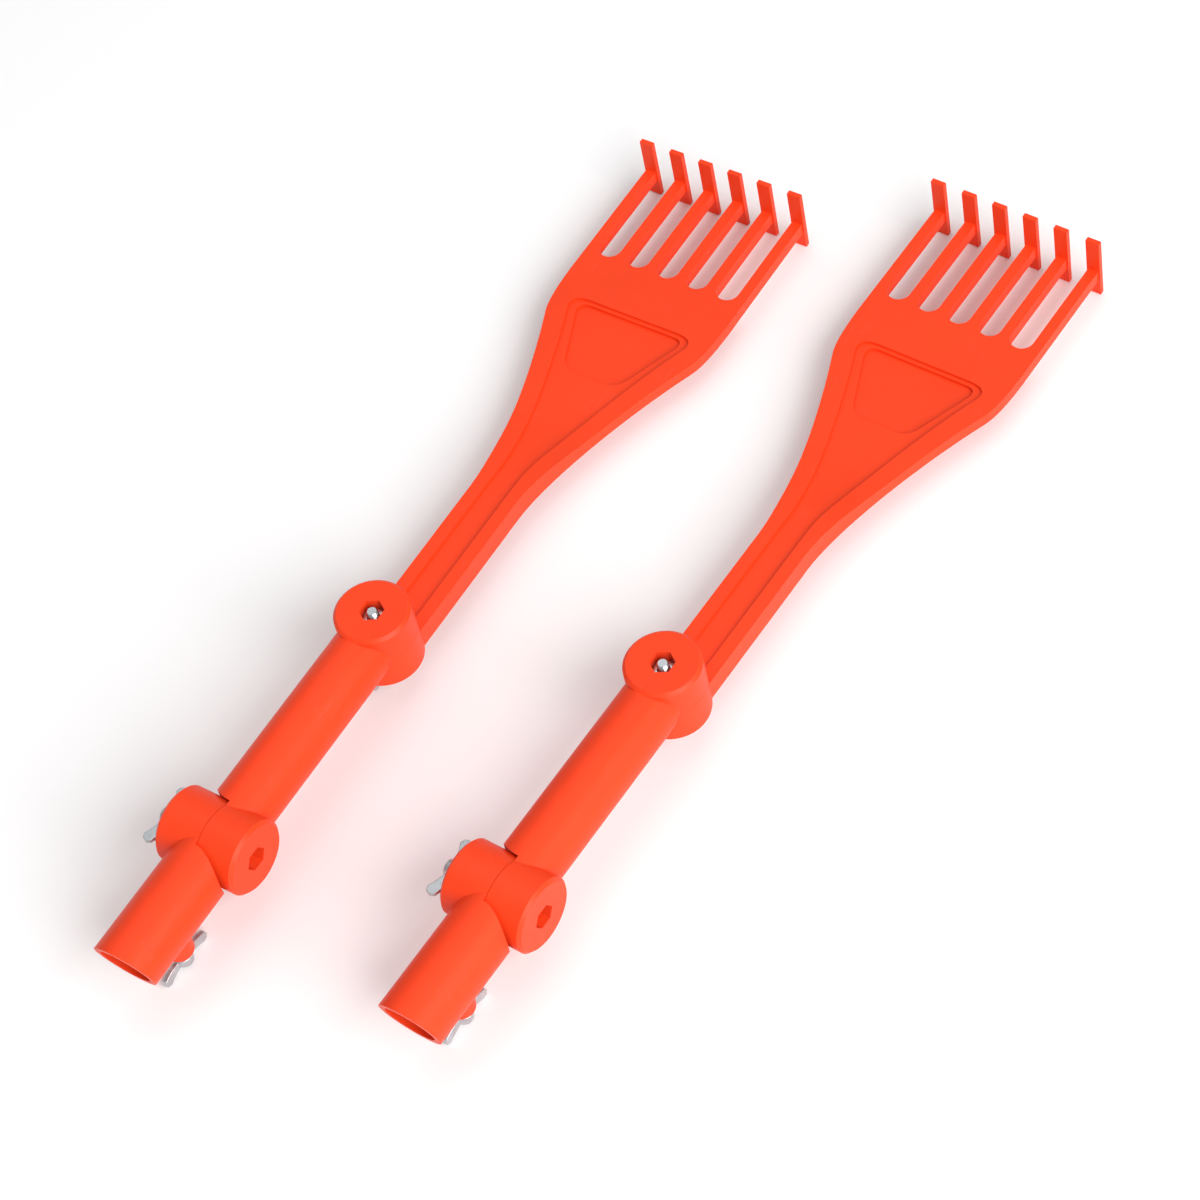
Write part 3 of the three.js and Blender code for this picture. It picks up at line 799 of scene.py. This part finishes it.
class LEAFGRAB_OT_inserts(bpy.types.Operator):
    """Turn and knurl the threaded inserts"""

    bl_idname = "leafgrab.inserts"
    bl_label = "Threaded Inserts"

    def execute(self, context):
        scene = context.scene
        sizes = scene.grabber_sizes
        for side in SIDES:
            node = f"{side}_clamp_insert"
            axes = screw_axes(side, "clamp")
            low, high = span(node, axes)
            outer = high.x
            bm = bmesh.new()
            bmesh.ops.create_circle(
                bm, cap_ends=True, segments=2 * KNURL_TEETH, radius=outer,
                matrix=Matrix.Translation((0, 0, low.z)),
            )
            rim = sorted(bm.verts, key=lambda v: math.atan2(v.co.y, v.co.x))
            for vertex in rim[::2]:
                vertex.co.xy *= 1 - KNURL_DEPTH / outer
            made = bmesh.ops.extrude_face_region(bm, geom=bm.faces[:])
            top = [item for item in made["geom"] if isinstance(item, bmesh.types.BMVert)]
            bmesh.ops.translate(bm, vec=(0, 0, high.z - low.z), verts=top)
            bmesh.ops.recalc_face_normals(bm, faces=bm.faces)
            middle = (low.z + high.z) / 2
            neck, waist = outer - INSERT_CHAMFER, outer - GROOVE_DEPTH
            groove = bmesh.new()
            revolve(groove, [
                (0, low.z - MM), (neck, low.z - MM), (neck, low.z),
                (outer, low.z + INSERT_CHAMFER), (outer, middle - GROOVE_HALF),
                (waist, middle - GROOVE_FLOOR_HALF), (waist, middle + GROOVE_FLOOR_HALF),
                (outer, middle + GROOVE_HALF), (outer, high.z - INSERT_CHAMFER),
                (neck, high.z), (neck, high.z + MM), (0, high.z + MM),
            ], ROUND_STEPS)
            bm = combine(bm, groove, "INTERSECT")
            bore = threaded_rod(THREADED_BORE, low.z - MM, high.z + MM, sizes)
            bm = combine(bm, bore, "DIFFERENCE")
            place_piece(bm, f"{side}_knurled_insert", node,
                        scene.grabber_colours, axes, smooth_angle=25)
        return {"FINISHED"}


class LEAFGRAB_OT_stage(bpy.types.Operator):
    """Set the floor, the lights and the camera"""

    bl_idname = "leafgrab.stage"
    bl_label = "Stage"

    def execute(self, context):
        scene = context.scene
        bm = bmesh.new()
        bmesh.ops.create_grid(bm, x_segments=1, y_segments=1, size=6.0)
        floor = solid_object(bm, "pale_floor")
        floor.data.materials.append(floor_finish(tuple(scene.grabber_colours.floor)))
        self.light("key_panel", place=(2.6, -0.8, 1.85), size=2.6, power=140)
        self.light("overhead_panel", place=(-0.3, 0.4, 2.4), size=2.4, power=17)
        world = bpy.data.worlds.new("soft_studio")
        world.use_nodes = True
        background = world.node_tree.nodes["Background"]
        background.inputs["Color"].default_value = (1.0, 1.0, 1.0, 1.0)
        background.inputs["Strength"].default_value = 0.45
        scene.world = world
        scene.view_settings.view_transform = "Standard"
        self.camera(scene)
        return {"FINISHED"}

    def light(self, name, place, size, power):
        """A square panel that faces the middle of the floor."""
        data = bpy.data.lights.new(name, "AREA")
        data.shape, data.size, data.energy = "SQUARE", size, power
        lamp = bpy.data.objects.new(name, data)
        lamp.location = place
        lamp.rotation_mode = "QUATERNION"
        lamp.rotation_quaternion = (-Vector(place)).to_track_quat("-Z", "Y")
        bpy.context.scene.collection.objects.link(lamp)

    def camera(self, scene):
        """A long lens on the middle of the pair, rolled so that the hands lean to the right."""
        azimuth, elevation, roll = (math.radians(angle) for angle in (44.897, 53.780, 15.943))
        back = Vector((
            math.sin(azimuth) * math.cos(elevation),
            -math.cos(azimuth) * math.cos(elevation),
            math.sin(elevation),
        ))
        aim, distance = Vector((1.83, -3.94, 20.0)) * MM, 1608.7 * MM
        data = bpy.data.cameras.new("catalogue_camera")
        data.lens, data.sensor_width = 101.52, 36.0
        camera = bpy.data.objects.new("catalogue_camera", data)
        camera.location = aim + back * distance
        camera.rotation_mode = "QUATERNION"
        level = (-back).to_track_quat("-Z", "Y")
        camera.rotation_quaternion = level @ Matrix.Rotation(-roll, 3, "Z").to_quaternion()
        scene.collection.objects.link(camera)
        scene.camera = camera


class LEAFGRAB_PT_panel(bpy.types.Panel):
    """Lists the pieces that make up the hands"""

    bl_label = "Leaf Grabber"
    bl_idname = "LEAFGRAB_PT_panel"
    bl_space_type = "VIEW_3D"
    bl_region_type = "UI"
    bl_category = "Leaf Grabber"

    def draw(self, context):
        for operator in PIECES:
            self.layout.operator(operator.bl_idname)
        for group in (context.scene.grabber_sizes, context.scene.grabber_colours):
            for name in type(group).__annotations__:
                self.layout.prop(group, name)


PIECES = (
    LEAFGRAB_OT_stage,
    LEAFGRAB_OT_rake_heads,
    LEAFGRAB_OT_neck_links,
    LEAFGRAB_OT_pole_sockets,
    LEAFGRAB_OT_studs,
    LEAFGRAB_OT_nuts,
    LEAFGRAB_OT_washers,
    LEAFGRAB_OT_wing_heads,
    LEAFGRAB_OT_inserts,
)
CLASSES = (GrabberSizes, GrabberColours, *PIECES, LEAFGRAB_PT_panel)


def register():
    for cls in CLASSES:
        bpy.utils.register_class(cls)
    bpy.types.Scene.grabber_sizes = PointerProperty(type=GrabberSizes)
    bpy.types.Scene.grabber_colours = PointerProperty(type=GrabberColours)


def unregister():
    del bpy.types.Scene.grabber_colours
    del bpy.types.Scene.grabber_sizes
    for cls in reversed(CLASSES):
        bpy.utils.unregister_class(cls)


def main():
    register()
    for operator in PIECES:
        group, name = operator.bl_idname.split(".")
        getattr(getattr(bpy.ops, group), name)()


if __name__ == "__main__":
    main()
